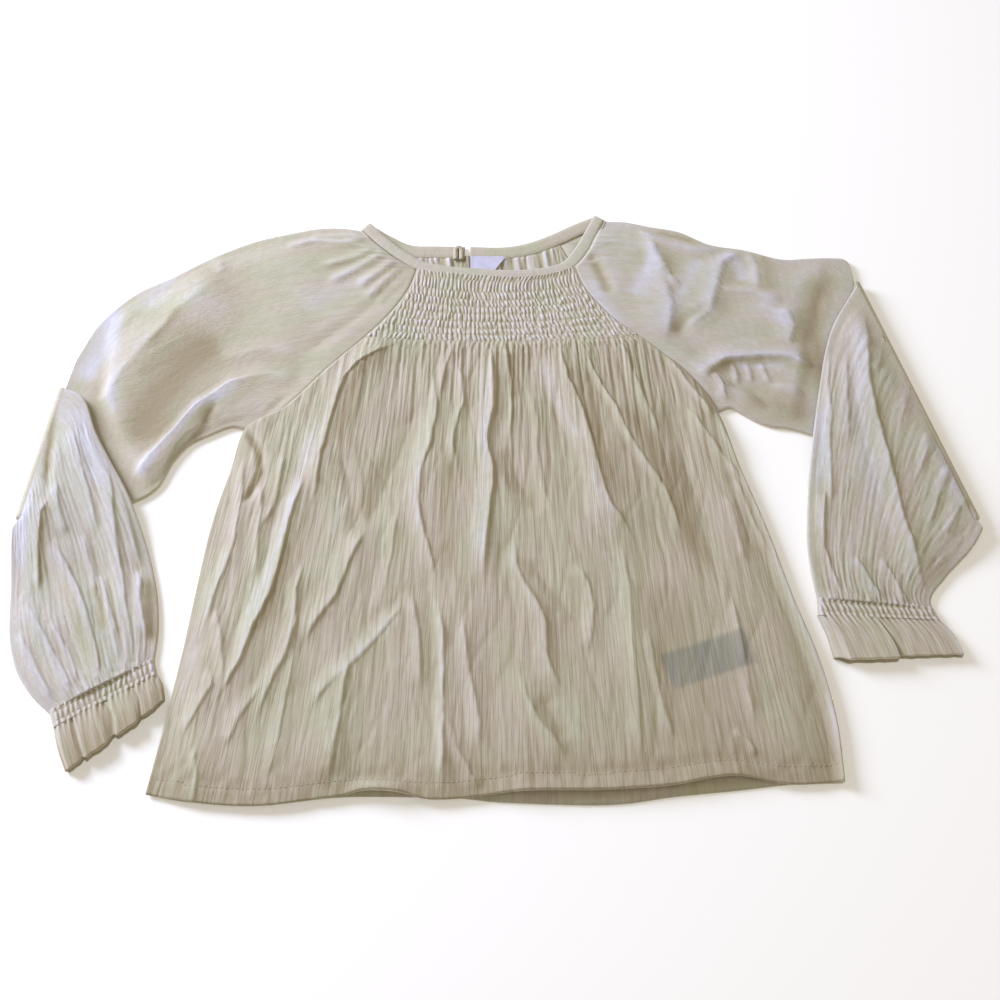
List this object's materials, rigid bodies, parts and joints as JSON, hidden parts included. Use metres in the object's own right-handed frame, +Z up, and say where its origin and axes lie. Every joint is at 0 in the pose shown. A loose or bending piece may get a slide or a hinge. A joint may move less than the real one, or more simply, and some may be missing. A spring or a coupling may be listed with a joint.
{
  "type": "peasant blouse",
  "caption": "Girl's crinkled cotton gauze blouse laid flat, with smocked yoke, raglan sleeves folded over at the elbow, elastic cuffs with frills and a narrow bound neck.",
  "frame": {"origin": "centre of the blouse's bounding box on the surface that it lies on", "axes": "+Z up out of the surface, with the blouse's front facing up; +Y towards the neck, -Y towards the hem; +X towards the wearer's left sleeve"},
  "size_m": [0.6373, 0.4543, 0.0089],
  "materials": {
    "gauze": "crinkled cotton gauze, unbleached ecru, matt, slightly see-through",
    "gauze_trim": "pressed gauze binding and elastic bands, matt, stitched",
    "label_white": "smooth woven satin label, blank white",
    "label_grey": "thin printed care label seen through the gauze, blank grey-green"
  },
  "bodies": {
    "root": {"front": "gauze", "back": "gauze", "sleeve_right": "gauze", "sleeve_left": "gauze", "cuff_band_right": "gauze_trim", "cuff_band_left": "gauze_trim", "cuff_frill_right": "gauze", "cuff_frill_left": "gauze", "neck_binding": "gauze_trim", "button_loop": "gauze_trim", "neck_label": "label_white", "care_label": "label_grey"}
  },
  "joints": []
}
